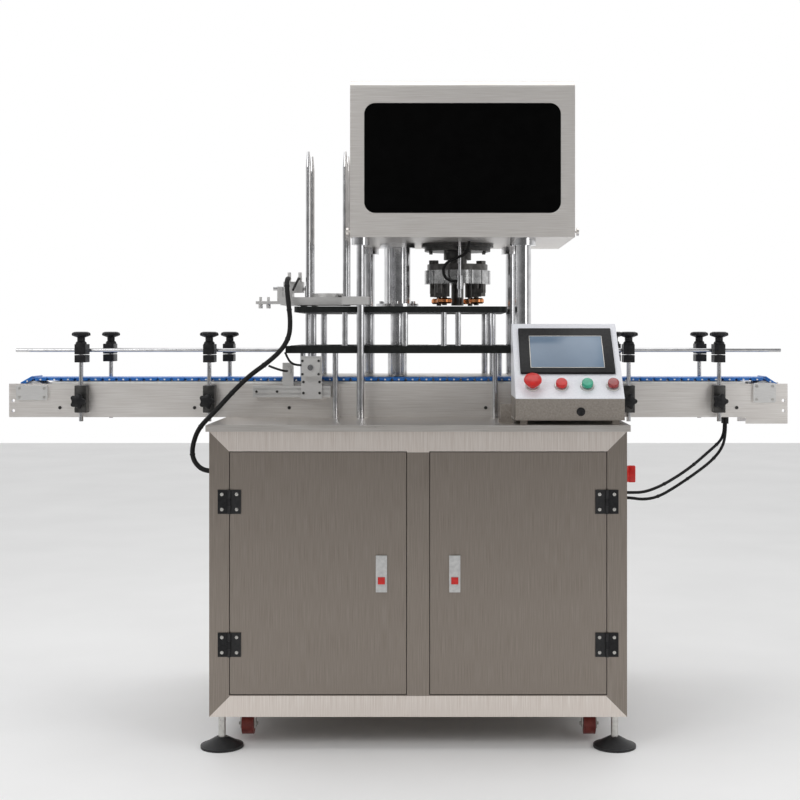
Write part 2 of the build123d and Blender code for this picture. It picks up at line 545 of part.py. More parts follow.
# ---- cap magazine ----
def magazine():
    z0, z1 = UPPER_TOP + 4, UPPER_TOP + 26
    plate = block(-325, -140, -75, 60, z0, z1) + block(-150, -78, -150, -30, z0, z1)
    plate -= rod(MAGAZINE_X, MAGAZINE_Y, z0 - 1, 40, 44)
    plate -= rod(THIN_COLUMN[0], THIN_COLUMN[1], z0 - 1, 40, THIN_COLUMN[2])
    plate -= block(-296, -226, MAGAZINE_Y - 22, MAGAZINE_Y + 22, z0 + 8, z1 + 1)
    ring = tube(MAGAZINE_X, MAGAZINE_Y, z1, 11, 50, 44)
    feet = [block(x - 8, x + 8, 20, 45, UPPER_TOP, z0) for x in (-270, -240)]
    rods = []
    for sx in (-1, 1):
        for sy in (-1, 1):
            x = MAGAZINE_X + sx * (MAGAZINE_ROD_X + 8)
            y = MAGAZINE_Y + sy * (MAGAZINE_ROD_Y + 4)
            tip = 42
            made = rod(x, y, z1, MAGAZINE_ROD_H - tip, MAGAZINE_ROD_R)
            rods.append(made + cone(x, y, z1 + MAGAZINE_ROD_H - tip, tip, MAGAZINE_ROD_R, 3.5))
    ring -= block(-300, -238, MAGAZINE_Y - 22, MAGAZINE_Y + 22, z1, z1 + 12)
    node("magazine_plate", plate, ring, *feet)
    node("magazine_rods", *rods)
    cy = MAGAZINE_Y
    body = block(-321, -296, cy - 26, cy + 26, z1, z1 + 44)
    body += block(-296, -268, cy - 26, cy + 26, z1 + 14, z1 + 44)
    body -= rod(-330, cy, z1 + 26, 70, 6 + RUN, "x")
    fittings = [rod(x, cy - 14, z1 + 44, 26, 5) + rod(x, cy - 34, z1 + 52, 20, 6, "y") for x in (-306, -276)]
    bar = block(-400, -325, cy - 12, cy + 12, z0 + 4, z0 + 12)
    stand = block(-340, -325, cy - 12, cy + 12, z0 + 12, z1 + 30) - rod(-345, cy, z1 + 26, 30, 7, "x")
    screws = [rod(x, cy, z0 - 8, 12, 6) + rod(x, cy, z0 + 12, 12, 4) for x in (-388, -366)]
    node("pusher_cylinder", body, *fittings, bar + stand, *screws)
    blade = rod(-352, cy, z1 + 26, 90, 6, "x") + block(-262, -254, cy - 16, cy + 16, z0 + 9, z1 + 32)
    node("pusher_blade", blade)


# ---- stop cylinder on a profile rail ----
STOP_X = -235.0
STOP_ROD_TRAVEL = 25.0


def stop_station():
    y1 = CONVEYOR_FRONT
    t = TABLE_TOP
    rail = block(-396, -184, y1 - 28, y1, t + 56, t + 87)
    for z in (t + 65, t + 78):
        rail -= block(-397, -183, y1 - 29, y1 - 23, z - 3, z + 3)
    plate = block(STOP_X - 28, STOP_X + 28, y1 - 38, y1 - 28.2, t + 52, t + 168)
    cylinder = block(STOP_X - 24, STOP_X + 24, y1 - 66, y1 - 38, t + 114, t + 162)
    cylinder -= rod(STOP_X, y1 - 70, t + 138, 40, 8 + RUN, "y")
    plate -= rod(STOP_X, y1 - 40, t + 138, 14, 8 + 0.3, "y")
    sensor_plate = block(-316, -286, y1 - 20, y1 - 14, t + 87, t + 150)
    sensor = rod(-301, y1 - 44, t + 128, 24, 9, "y")
    node("profile_rail", rail, sensor_plate, sensor)
    node("stop_cylinder", plate, cylinder)
    node("stop_rod", rod(STOP_X, y1 - 72, t + 138, 66, 8, "y"))


# ---- operator box ----
BOX_X0, BOX_X1 = 307.0, 583.0
BOX_Y0 = -372.0
BOX_DEPTH = 240.0
BOX_LIP = 56.0
BOX_SLOPE = 45.0
BOX_FEET = 10.0
BOX_WALL = 3.0
BOX_FACE = 268.0                # length of the sloped face
KEY_X = {"e_stop": 44.0, "button_stop": 118.0, "button_start": 184.0, "button_reset": 250.0}
KEY_UP = 42.0                   # up the face from its lower edge


def on_face(along, up, out=0.0):
    """A place on the sloped face, with its local Z out of the face and local Y up it."""
    a = math.radians(BOX_SLOPE)
    y = BOX_Y0 + up * math.cos(a) - out * math.sin(a)
    z = TABLE_TOP + BOX_FEET + BOX_LIP + up * math.sin(a) + out * math.cos(a)
    return Location((BOX_X0 + along, y, z), (BOX_SLOPE, 0, 0))


def operator_box():
    a = math.radians(BOX_SLOPE)
    z0 = TABLE_TOP + BOX_FEET
    top_y, top_z = BOX_Y0 + BOX_FACE * math.cos(a), z0 + BOX_LIP + BOX_FACE * math.sin(a)
    back_y = BOX_Y0 + BOX_DEPTH
    profile = Polyline((BOX_Y0, z0), (back_y, z0), (back_y, top_z), (top_y, top_z),
                       (BOX_Y0, z0 + BOX_LIP), close=True)
    side = make_face(Plane.YZ * profile)
    width = BOX_X1 - BOX_X0
    box = extrude(side, width, dir=(1, 0, 0)).moved(Location((BOX_X0, 0, 0)))
    hollow = extrude(offset(side, -BOX_WALL), width - 2 * BOX_WALL, dir=(1, 0, 0))
    box -= hollow.moved(Location((BOX_X0 + BOX_WALL, 0, 0)))
    screen_up, screen_half = 165.0, 82.0
    recess = Box(width - 30, 2 * screen_half, 4).moved(on_face(width / 2, screen_up, 0))
    box -= recess
    for name, along in KEY_X.items():
        box -= Cylinder(8.1, 24).moved(on_face(along, KEY_UP, -6))
    feet = [block(x, x + 18, y, y + 18, TABLE_TOP, z0)
            for x in (BOX_X0 + 12, BOX_X1 - 30) for y in (BOX_Y0 + 12, back_y - 30)]
    screen = Box(width - 30.6, 2 * screen_half - 0.6, 7).moved(on_face(width / 2, screen_up, 1.6))
    node("touch_screen", screen)
    base = (Align.CENTER, Align.CENTER, Align.MIN)
    for name, along in KEY_X.items():
        stem = Cylinder(8, 22, align=base).moved(on_face(along, KEY_UP, -10))
        if name == "e_stop":
            cap = Cylinder(15, 12, align=base).moved(on_face(along, KEY_UP, 8))
            cap += Cylinder(23, 12, align=base).moved(on_face(along, KEY_UP, 18))
        else:
            cap = Cylinder(14.5, 12, align=base).moved(on_face(along, KEY_UP, 6))
        node(name, stem + cap)
    x = BOX_X0 - 22
    clamp = block(x - 18, x + 18, BOX_Y0 + 60, BOX_Y0 + 90, TABLE_TOP, TABLE_TOP + 10)
    clamp += block(x - 14, x + 14, BOX_Y0 + 64, BOX_Y0 + 86, TABLE_TOP + 10, TABLE_TOP + 48)
    node("control_box", box, *feet, clamp)


# ---- main switch, drives ----
SWITCH_Y, SWITCH_Z = -250.0, TABLE_TOP - 138


def switch_and_drives():
    x = CAB_X1
    base = block(x, x + 16, SWITCH_Y - 32, SWITCH_Y + 32, SWITCH_Z - 36, SWITCH_Z + 36)
    base -= rod(x + 4, SWITCH_Y, SWITCH_Z, 14, 9 + RUN, "x")
    node("switch_base", base)
    handle = rod(x + 4.5, SWITCH_Y, SWITCH_Z, 12.5, 9, "x") + rod(x + 17, SWITCH_Y, SWITCH_Z, 6, 22, "x")
    handle += block(x + 23, x + 42, SWITCH_Y - 7, SWITCH_Y + 7, SWITCH_Z - 22, SWITCH_Z + 22)
    node("switch_handle", handle)
    gearbox_top = DOOR_Z0 + 160
    main = block(STAR_X - 150, STAR_X + 150, STAR_Y - 90, STAR_Y + 90, DOOR_Z0, gearbox_top)
    main += rod(STAR_X, STAR_Y, gearbox_top, MAIN_DRIVE_TOP - gearbox_top, 70)
    belt_drive = rod(SPROCKET_X - 90, CONVEYOR_BACK + 2, SPROCKET_Z - 10, 150, 38, "y")
    head_motor = block(HEAD_X - 105, HEAD_X + 105, HEAD_Y - 90, HEAD_Y + 90, HOOD_Z0 + HOOD_BASE, HOOD_Z0 + HOOD_BASE + 90)
    head_motor += rod(HEAD_X, HEAD_Y, HOOD_Z0 + HOOD_BASE + 90, 160, 60)
    node("drives", main, head_motor, belt_drive)


# ---- cords: each route is a hand-chosen list of points ----
HARNESS_D = 13.0
BRANCH_D = 6.0
CABLE_D = 8.0
HOSE_D = 8.0
HARNESS = [(-306, -44, 1198), (-306, -70, 1198), (-305, -95, 1185), (-302, -111, 1162), (-297, -118, 1123),
           (-292, -122, 1080), (-294, -128, 1038), (-314, -138, 1001), (-352, -150, 966), (-396, -163, 934),
           (-440, -169, 891), (-487, -173, 838), (-530, -180, 795), (-545, -187, 752), (-545.9, -194.4, 718.6),
           (-531.4, -197.3, 693.5), (-508, -200, 680), (-483, -200, 680)]
BRANCH_TO_PUSHER = [(-276, -44, 1198), (-276, -60, 1198), (-278, -76, 1191), (-282, -89, 1179),
                    (-288, -99, 1164)]
BRANCH_TO_STOP = [(-304, -143, 995), (-298, -145, 982), (-291, -136, 968), (-276, -130, 960),
                  (-259, -130, 960)]
BRANCH_TO_SENSOR = [(-345.8, -155.5, 958.7), (-333, -163, 954), (-318, -163.5, 949), (-307, -154, 945.5),
                    (-301, -140, 944), (-301, -124, 944)]
RIGHT_CABLES = {
    "right_cable_a": [(907, -25, 796), (907, -25, 776), (899, -38, 757), (884, -62, 744), (848, -92, 720), (804, -118, 688),
                      (756, -144, 660), (706, -168, 636), (660, -186, 622), (624, -192, 622), (603, -192, 622)],
    "right_cable_b": [(907, -45, 796), (907, -45, 770), (896, -60, 732), (862, -86, 698), (812, -112, 666),
                      (758, -134, 634), (704, -154, 606), (660, -168, 600), (624, -172, 606), (603, -172, 606)],
}
HEAD_HOSE = [(196, 12, 1306), (196, 12, 1287), (186, 14, 1270), (168, 18, 1262), (149.5, 23, 1255),
             (130.5, 27.5, 1244), (122.4, 31.5, 1225.7), (127.2, 34.5, 1206.3), (143, 36, 1194),
             (162, 36, 1194)]
NOZZLE_X, NOZZLE_Y = 170.0, 36.0
LIFT = TABLE_TOP - 816.0        # the routes are for a table top at 816
LEFT_SHIFT = CAB_X0 + 465.0     # and for cabinet sides at -465 and 585
RIGHT_SHIFT = CAB_X1 - 585.0


def route(points, end_shift=0.0):
    """The route raised with the table. Its first third stays, and its last third moves in X with its far end."""
    last = len(points) - 1
    moved = []
    for k, (x, y, z) in enumerate(points):
        share = min(1.0, max(0.0, 3 * k / last - 1))
        moved.append((x + share * end_shift, y, z + LIFT))
    return moved


HARNESS = route(HARNESS, LEFT_SHIFT)
BRANCH_TO_PUSHER, BRANCH_TO_STOP, BRANCH_TO_SENSOR = (
    route(p) for p in (BRANCH_TO_PUSHER, BRANCH_TO_STOP, BRANCH_TO_SENSOR))
RIGHT_CABLES = {name: route(points, RIGHT_SHIFT) for name, points in RIGHT_CABLES.items()}
HEAD_HOSE = route(HEAD_HOSE)


def corner_radii(points):
    """The largest arc that each corner's two runs allow, with a little of each run left straight."""
    radii = []
    for a, b, c in zip(points, points[1:], points[2:]):
        u, v = Vector(b) - Vector(a), Vector(c) - Vector(b)
        turn = math.radians(u.get_angle(v))
        radii.append(0.45 * min(u.length, v.length) / math.tan(turn / 2))
    return radii


def cord(points, diameter):
    radii = corner_radii(points)
    path = FilletPolyline(*points, radius=radii)
    start = Plane(origin=path @ 0, z_dir=path % 0)
    made = sweep(start * Circle(diameter / 2), path)
    expected = math.pi * diameter ** 2 / 4 * path.length
    print(f"cord {path.length:.0f} mm, least radius {min(radii):.0f}, volume {made.volume / expected:.3f}")
    return made


def cords():
    branches = [cord(p, BRANCH_D) for p in (BRANCH_TO_PUSHER, BRANCH_TO_STOP, BRANCH_TO_SENSOR)]
    node("left_harness", cord(HARNESS, HARNESS_D), *branches)
    node("right_cables", *[cord(points, CABLE_D) for points in RIGHT_CABLES.values()])
    node("head_hose", cord(HEAD_HOSE, HOSE_D))
    x, y, z = HARNESS[-1]
    glands = [rod(CAB_X0 - 18, y, z, 18, 11, "x")]
    bar = block(892, 923.5, CONVEYOR_FRONT + SIDE_PLATE, CONVEYOR_BACK - SIDE_PLATE, CONVEYOR_Z0, CONVEYOR_Z0 + 5)
    for points in RIGHT_CABLES.values():
        x, y, z = points[-1]
        glands.append(rod(CAB_X1, y, z, 18, 8, "x"))
        x, y, z = points[0]
        bar += rod(x, y, z, CONVEYOR_Z0 - z, 8)
    node("cable_glands", *glands, bar)
    t = TABLE_TOP
    nozzle = rod(NOZZLE_X, NOZZLE_Y, t + 394, HOOD_Z0 - t - 394, 4)
    nozzle += rod(NOZZLE_X, NOZZLE_Y, t + 356, 38, 8)
    nozzle += rod(NOZZLE_X, NOZZLE_Y, t + 332, 24, 5)
    node("air_nozzle", nozzle)


def main():
    for build in (cabinet, feet_and_casters, doors, conveyor, guide_rails, star_wheel, guide_plates,
                  columns, hood, capping_head, magazine, stop_station, operator_box, switch_and_drives, cords):
        build()
    os.makedirs("parts", exist_ok=True)
    for old in os.listdir("parts"):
        os.remove(os.path.join("parts", old))
    for name, shape in NODES.items():
        export_step(shape, f"parts/{name}.step")
    print(len(NODES), "nodes")


main()
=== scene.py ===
import bpy
import bmesh
import math
from mathutils import Matrix, Vector


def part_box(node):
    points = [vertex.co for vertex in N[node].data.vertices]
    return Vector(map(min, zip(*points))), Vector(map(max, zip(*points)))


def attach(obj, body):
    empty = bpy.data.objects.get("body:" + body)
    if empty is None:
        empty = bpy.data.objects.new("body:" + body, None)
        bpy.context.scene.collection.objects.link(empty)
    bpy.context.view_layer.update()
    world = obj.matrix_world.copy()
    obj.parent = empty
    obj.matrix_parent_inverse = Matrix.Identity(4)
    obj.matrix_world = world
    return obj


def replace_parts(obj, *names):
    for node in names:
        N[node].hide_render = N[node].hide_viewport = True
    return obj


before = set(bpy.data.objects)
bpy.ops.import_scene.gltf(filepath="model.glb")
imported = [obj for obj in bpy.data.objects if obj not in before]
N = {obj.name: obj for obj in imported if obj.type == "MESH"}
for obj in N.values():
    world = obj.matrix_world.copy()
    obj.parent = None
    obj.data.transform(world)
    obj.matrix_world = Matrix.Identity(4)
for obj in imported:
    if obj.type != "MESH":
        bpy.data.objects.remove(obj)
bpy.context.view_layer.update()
MM = 0.001


# ---- shader graph ----
class Graph:
    def __init__(self, name):
        self.mat = bpy.data.materials.new(name)
        self.mat.use_nodes = True
        self.tree = self.mat.node_tree
        self.bsdf = self.tree.nodes["Principled BSDF"]
        self.coord = self.tree.nodes.new("ShaderNodeTexCoord").outputs["Object"]
        split = self.tree.nodes.new("ShaderNodeSeparateXYZ")
        self.tree.links.new(self.coord, split.inputs[0])
        self.x, self.y, self.z = split.outputs

    def math(self, op, a, b=0.0):
        n = self.tree.nodes.new("ShaderNodeMath")
        n.operation = op
        for socket, value in zip(n.inputs, (a, b)):
            if isinstance(value, (int, float)):
                socket.default_value = value
            else:
                self.tree.links.new(value, socket)
        return n.outputs[0]

    def noise(self, scale, stretch=(1, 1, 1), detail=5.0):
        m = self.tree.nodes.new("ShaderNodeMapping")
        m.inputs["Scale"].default_value = stretch
        self.tree.links.new(self.coord, m.inputs["Vector"])
        n = self.tree.nodes.new("ShaderNodeTexNoise")
        n.inputs["Scale"].default_value = scale
        n.inputs["Detail"].default_value = detail
        self.tree.links.new(m.outputs[0], n.inputs["Vector"])
        return n.outputs["Fac"]

    def tones(self, fac, a, b, low=0.3, high=0.7):
        r = self.tree.nodes.new("ShaderNodeValToRGB")
        r.color_ramp.elements[0].position, r.color_ramp.elements[1].position = low, high
        r.color_ramp.elements[0].color, r.color_ramp.elements[1].color = (*a, 1), (*b, 1)
        self.tree.links.new(fac, r.inputs[0])
        return r.outputs[0]

    def mix(self, fac, a, b):
        n = self.tree.nodes.new("ShaderNodeMix")
        n.data_type = "RGBA"
        for socket, value in zip((n.inputs[0], n.inputs[6], n.inputs[7]), (fac, a, b)):
            self.tree.links.new(value, socket)
        return n.outputs[2]

    def range(self, fac, low, high):
        n = self.tree.nodes.new("ShaderNodeMapRange")
        n.inputs["To Min"].default_value, n.inputs["To Max"].default_value = low, high
        self.tree.links.new(fac, n.inputs["Value"])
        return n.outputs[0]

    def bump(self, height, strength, distance=0.0004):
        n = self.tree.nodes.new("ShaderNodeBump")
        n.inputs["Strength"].default_value = strength
        n.inputs["Distance"].default_value = distance
        self.tree.links.new(height, n.inputs["Height"])
        self.tree.links.new(n.outputs[0], self.bsdf.inputs["Normal"])

    def set(self, name, value):
        if isinstance(value, (int, float)):
            self.bsdf.inputs[name].default_value = value
        else:
            self.tree.links.new(value, self.bsdf.inputs[name])


def finish(name, a, b, metallic=0.0, rough=0.4, spread=0.08, scale=30.0, stretch=(1, 1, 1), bump=0.1, coat=0.0,
           where=None, other=None):
    """Two tones, roughness and relief from one stretched noise. Where the mask is 1, the other finish shows:
    (tone a, tone b, metallic, roughness)."""
    g = Graph(name)
    fac = g.noise(scale, stretch)
    colour = g.tones(fac, a, b)
    g.set("Metallic", metallic)
    if where:
        mask = where(g)
        oa, ob, om, orough = other
        colour = g.mix(mask, colour, g.tones(fac, oa, ob))
        g.set("Metallic", g.range(mask, metallic, om))
        shift = g.range(mask, 0.0, orough - rough)
        g.set("Roughness", g.math("ADD", g.range(fac, rough - spread, rough + spread), shift))
    else:
        g.set("Roughness", g.range(fac, rough - spread, rough + spread))
    g.set("Base Color", colour)
    if coat:
        g.set("Coat Weight", coat)
    g.bump(fac, bump)
    return g.mat


VERT, ALONG = (60, 60, 1.2), (1.2, 60, 60)      # grain directions of brushed sheet


def below(z):
    return lambda g: g.math("LESS_THAN", g.z, z)


def above(z):
    return lambda g: g.math("GREATER_THAN", g.z, z)


def rail_sheen_mask(g):
    """The cabinet's top and bottom rails, up to their mitred corners, where a painted sheen shows: their lighter
    tone stands in for light falling on them, while the stiles keep the darker stainless tone.
    """
    (x0, _, z0), (x1, _, z1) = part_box("cabinet_frame")
    side = g.math("MINIMUM", g.math("SUBTRACT", g.x, x0), g.math("SUBTRACT", x1, g.x))
    end = g.math("MINIMUM", g.math("SUBTRACT", g.z, z0), g.math("SUBTRACT", z1, g.z))
    near = g.math("LESS_THAN", end, 0.0525)
    return g.math("MULTIPLY", near, g.math("LESS_THAN", end, side))


TAUPE = ((0.25, 0.215, 0.185), (0.33, 0.29, 0.255))
# painted sheen: the lighter tones of the frame's top and bottom rails, a lit copy of the stainless
RAIL_SHEEN_TONES = ((0.70, 0.62, 0.56), (0.86, 0.80, 0.75))
STEEL = ((0.60, 0.56, 0.52), (0.74, 0.71, 0.68))
DARK = (0.005, 0.005, 0.006), (0.016, 0.016, 0.017)
M = {
    # the frame's rails get the painted sheen's lighter tones; the stiles keep the darker stainless tone
    "frame": finish("stainless_frame", *TAUPE, 1, 0.36, 0.06, 9, VERT, 0.05, where=rail_sheen_mask,
                    other=(*RAIL_SHEEN_TONES, 0.9, 0.34)),
    "door": finish("stainless_door", *TAUPE, 1, 0.38, 0.06, 11, VERT, 0.06),
    "panel": finish("stainless_panel", *TAUPE, 1, 0.4, 0.06, 10, VERT, 0.05),
    "table": finish("stainless_table", *STEEL, 1, 0.3, 0.06, 9, ALONG, 0.05),
    "side": finish("stainless_side", (0.74, 0.70, 0.66), (0.88, 0.85, 0.82), 0.8, 0.36, 0.06, 9, ALONG, 0.05),
    "hood": finish("stainless_hood", (0.76, 0.72, 0.68), (0.90, 0.87, 0.84), 0.75, 0.36, 0.05, 9, ALONG, 0.04),
    "chrome": finish("hard_chrome", (0.50, 0.50, 0.51), (0.66, 0.66, 0.67), 1, 0.14, 0.04, 40, bump=0.02),
    "zinc": finish("zinc_plate", (0.45, 0.44, 0.42), (0.62, 0.61, 0.58), 1, 0.4, 0.08, 45, bump=0.06),
    "alu": finish("satin_aluminium", (0.62, 0.61, 0.60), (0.76, 0.755, 0.74), 0.75, 0.4, 0.06, 60, ALONG, 0.04),
    "black": finish("black_moulding", *DARK, 0, 0.42, 0.08, 160, bump=0.14),
    "nylon": finish("black_nylon_plate", (0.004, 0.005, 0.005), (0.012, 0.014, 0.013), 0, 0.5, 0.08, 120, bump=0.1),
    "rubber": finish("black_rubber", (0.005, 0.005, 0.0055), (0.014, 0.0135, 0.0135), 0, 0.62, 0.1, 110, bump=0.2),
    "darksteel": finish("blackened_steel", (0.035, 0.034, 0.033), (0.09, 0.088, 0.085), 0.8, 0.38, 0.08, 60,
                        bump=0.08),
    "window": finish("black_acrylic", (0.0003, 0.0003, 0.0003), (0.001, 0.001, 0.001), 0, 0.5, 0.03, 30, bump=0.01),
    "copper": finish("copper_roller", (0.62, 0.22, 0.08), (0.85, 0.38, 0.16), 1, 0.26, 0.06, 60, bump=0.04),
    # painted shade: below z 0.8805 the control box's lower front panel gets a dark brownish tone for the shadow
    # under the sloped face
    "white": finish("white_powder_coat_and_painted_shade", (0.74, 0.75, 0.80), (0.82, 0.83, 0.87), 0, 0.4, 0.06, 220, bump=0.1,
                    where=below(0.8805), other=((0.30, 0.27, 0.24), (0.40, 0.36, 0.32), 0.7, 0.4)),
    "plastic": finish("white_polyethylene", (0.78, 0.78, 0.76), (0.88, 0.88, 0.86), 0, 0.45, 0.08, 90, bump=0.06),
    "blue": finish("blue_slat", (0.012, 0.12, 0.46), (0.025, 0.20, 0.62), 0, 0.34, 0.06, 80, bump=0.08),
    "red": finish("red_moulding", (0.50, 0.010, 0.008), (0.64, 0.018, 0.014), 0, 0.32, 0.05, 90, bump=0.04),
    "darkred": finish("dark_red_lens", (0.20, 0.006, 0.006), (0.34, 0.014, 0.012), 0, 0.2, 0.04, 90, bump=0.03,
                        coat=0.4),
    "green": finish("green_lens", (0.0, 0.26, 0.15), (0.01, 0.40, 0.24), 0, 0.24, 0.05, 90, bump=0.03, coat=0.3),
    "yellow": finish("yellow_moulding", (0.80, 0.46, 0.02), (0.92, 0.58, 0.04), 0, 0.36, 0.06, 90, bump=0.05),
    "tyre": finish("caster_tyre", (0.16, 0.02, 0.016), (0.26, 0.045, 0.035), 0, 0.46, 0.08, 90, bump=0.1),
    "brass": finish("brass", (0.62, 0.42, 0.14), (0.80, 0.58, 0.24), 1, 0.25, 0.06, 60, bump=0.03),
    "motor": finish("grey_motor", (0.17, 0.18, 0.20), (0.25, 0.26, 0.28), 0.2, 0.5, 0.08, 130, bump=0.12),
    "screen": finish("display_glass", (0.13, 0.19, 0.27), (0.19, 0.27, 0.37), 0, 0.16, 0.03, 4, bump=0.0),
    "feet": finish("foot_rubber_and_stem", *DARK, 0, 0.55, 0.08, 90, bump=0.14, where=above(0.0262),
                   other=((0.5, 0.49, 0.47), (0.66, 0.65, 0.62), 1, 0.3)),
    "carrier": finish("seaming_carrier", (0.05, 0.048, 0.046), (0.13, 0.125, 0.12), 0.9, 0.32, 0.07, 60, bump=0.06,
                      where=lambda g: g.math("MULTIPLY", g.math("GREATER_THAN", g.z, 1.1885),
                                             g.math("LESS_THAN", g.z, 1.2282)),
                      other=((0.34, 0.34, 0.34), (0.52, 0.52, 0.52), 1, 0.2)),
    "hinge_l": finish("black_hinge_grey_latch_left", *DARK, 0.2, 0.42, 0.08, 120, bump=0.12,
                      where=lambda g: g.math("GREATER_THAN", g.x, -0.1),
                      other=((0.50, 0.50, 0.50), (0.64, 0.64, 0.63), 0.6, 0.36)),
    "hinge_r": finish("black_hinge_grey_latch_right", *DARK, 0.2, 0.42, 0.08, 120, bump=0.12,
                      where=lambda g: g.math("LESS_THAN", g.x, 0.25),
                      other=((0.50, 0.50, 0.50), (0.64, 0.64, 0.63), 0.6, 0.36)),
}
PAINT = {
    "frame": "cabinet_frame", "door": "door_left door_right", "panel": "cabinet_panels", "table": "table_top",
    "side": "conveyor_side_front conveyor_side_rear dead_plate", "hood": "hood_cover hood_base",
    "chrome": "turret_posts columns magazine_rods main_spindle pusher_blade stop_rod air_nozzle",
    "zinc": "caster_forks", "black": "hinge_leaves_fixed cable_glands",
    "nylon": "guide_plates star_wheel upper_plate",
    "alu": "magazine_plate pusher_cylinder profile_rail stop_cylinder bearing_covers", "darksteel": "head_housing",
    "window": "hood_window", "copper": "seam_rollers", "white": "control_box", "blue": "conveyor_belt",
    "plastic": "conveyor_bed drive_sprocket idler_sprocket", "motor": "drives",
    "tyre": "caster_wheels_front caster_wheels_rear",
    "feet": "levelling_feet", "carrier": "head_carrier",
    "hinge_l": "door_fittings_left", "hinge_r": "door_fittings_right",
    "red": "latch_button_left latch_button_right", "yellow": "switch_base",
}
M["window"].node_tree.nodes["Principled BSDF"].inputs["Specular IOR Level"].default_value = 0.04
for key in ("black", "nylon", "rubber"):
    M[key].node_tree.nodes["Principled BSDF"].inputs["Specular IOR Level"].default_value = 0.25
for key, names in PAINT.items():
    for name in names.split():
        for s in N[name].material_slots:
            s.material = M[key]
N["touch_screen"].material_slots[0].material = M["black"]


# ---- mesh builders ----
def piece(name, bm, mat, body, smooth=40.0):
    bmesh.ops.recalc_face_normals(bm, faces=bm.faces)
    me = bpy.data.meshes.new(name)
    bm.to_mesh(me)
    bm.free()
    me.materials.append(M[mat])
    for f in me.polygons:
        f.use_smooth = True
    me.set_sharp_from_angle(angle=math.radians(smooth))
    o = bpy.data.objects.new(name, me)
    bpy.context.scene.collection.objects.link(o)
    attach(o, body)
    return o


def add_box(bm, x0, x1, y0, y1, z0, z1, bevel=0.001, place=None):
    part = bmesh.new()
    bmesh.ops.create_cube(part, size=1)
    for v in part.verts:
        v.co = Vector(((x0 + x1) / 2 + v.co.x * (x1 - x0), (y0 + y1) / 2 + v.co.y * (y1 - y0),
                       (z0 + z1) / 2 + v.co.z * (z1 - z0)))
    bmesh.ops.bevel(part, geom=part.edges[:], offset=bevel, segments=3, profile=0.5, affect="EDGES")
    merge(bm, part, place)


def merge(bm, part, place=None):
    if place:
        bmesh.ops.transform(part, matrix=place, verts=part.verts[:])
    me = bpy.data.meshes.new("part")
    part.to_mesh(me)
    part.free()
    bm.from_mesh(me)
    bpy.data.meshes.remove(me)


def add_lathe(bm, profile, place, steps=48, lobes=0, depth=0.0, only=()):
    """Turns (radius, height) pairs about local Z. lobes wave the radius of the rows in only."""
    part = bmesh.new()
    rows = []
    for k, (r, h) in enumerate(profile):
        row = []
        for i in range(steps):
            a = 2 * math.pi * i / steps
            rr = r * (1 + depth * math.cos(lobes * a)) if k in only else r
            row.append(part.verts.new((rr * math.cos(a), rr * math.sin(a), h)))
        rows.append(row)
    for lo, hi in zip(rows, rows[1:]):
        for i in range(steps):
            part.faces.new((lo[i], lo[(i + 1) % steps], hi[(i + 1) % steps], hi[i]))
    part.faces.new(rows[0][::-1])
    part.faces.new(rows[-1])
    merge(bm, part, place)


def add_ring(bm, profile, place, steps=48):
    """A ring with an open middle: the profile is a closed loop of (radius, height)."""
    part = bmesh.new()
    rows = [[part.verts.new((r * math.cos(2 * math.pi * i / steps), r * math.sin(2 * math.pi * i / steps), h))
             for i in range(steps)] for r, h in profile]
    for lo, hi in zip(rows, rows[1:] + rows[:1]):
        for i in range(steps):
            part.faces.new((lo[i], lo[(i + 1) % steps], hi[(i + 1) % steps], hi[i]))
    merge(bm, part, place)


def at(x, y, z, axis="z"):
    turn = {"z": Matrix.Identity(4), "x": Matrix.Rotation(math.pi / 2, 4, "Y"),
            "y": Matrix.Rotation(-math.pi / 2, 4, "X"), "-y": Matrix.Rotation(math.pi / 2, 4, "X"),
            "-x": Matrix.Rotation(-math.pi / 2, 4, "Y"), "-z": Matrix.Rotation(math.pi, 4, "X")}[axis]
    return Matrix.Translation((x, y, z)) @ turn


def bar(radius, length, edge=0.0006):
    return [(radius - edge, 0), (radius, edge), (radius, length - edge), (radius - edge, length)]


def screw(radius=0.005, head=0.004):
    """A socket cap screw's head, with its hexagon's recess as a shallow dish."""
    r = radius
    return [(r, 0), (r, head * 0.8), (r * 0.9, head), (r * 0.5, head),
            (r * 0.45, head * 0.5), (r * 0.05, head * 0.5)]


